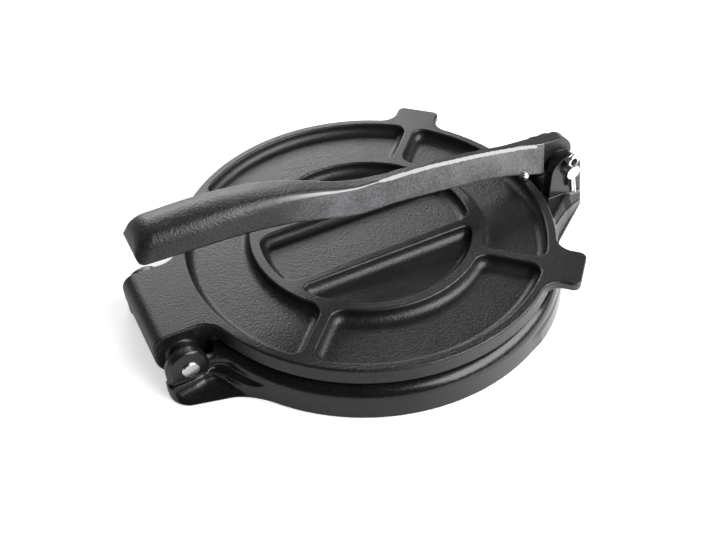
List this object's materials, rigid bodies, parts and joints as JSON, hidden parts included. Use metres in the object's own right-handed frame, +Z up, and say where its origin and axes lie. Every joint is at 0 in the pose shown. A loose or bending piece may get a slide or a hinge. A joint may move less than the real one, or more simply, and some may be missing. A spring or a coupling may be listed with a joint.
{
  "type": "tortilla press",
  "caption": "Round cast iron hand press with a hinged lid, finger tabs and a long lever that pivots in a fork and bears on the lid's rim.",
  "frame": {"origin": "on the table under the middle of the whole press, closed", "axes": "+X from the lid's hinge to the lever's pivot, +Y across the press, +Z up"},
  "size_m": [0.2734, 0.2194, 0.0807],
  "materials": {
    "base_iron": "black baked finish on fine sand casting, semi-gloss on the wall",
    "lid_iron": "black baked finish on fine sand casting, satin",
    "lever_iron": "black baked finish on fine sand casting, satin with visible grain",
    "steel": "bright drawn steel"
  },
  "bodies": {
    "base": {"base": "base_iron", "hinge_pin": "steel", "hinge_cotter": "steel", "lever_pin": "steel", "lever_cotter": "steel"},
    "lid": {"lid": "lid_iron"},
    "lever": {"lever": "lever_iron", "press_pin": "steel"}
  },
  "joints": [
    {"name": "lever_pivot", "type": "hinge", "parent": "base", "child": "lever", "pos_m": [0.12175, 0, 0.0312], "axis": [0, 1, 0], "range_deg": [0, 170]},
    {"name": "lid_hinge", "type": "hinge", "parent": "base", "child": "lid", "pos_m": [-0.12295, 0, 0.0148], "axis": [0, -1, 0], "range_deg": [0, 17]}
  ],
  "couplings": [
    {"joint": "lid_hinge", "follows": "lever_pivot", "ratio": 0.1}
  ]
}
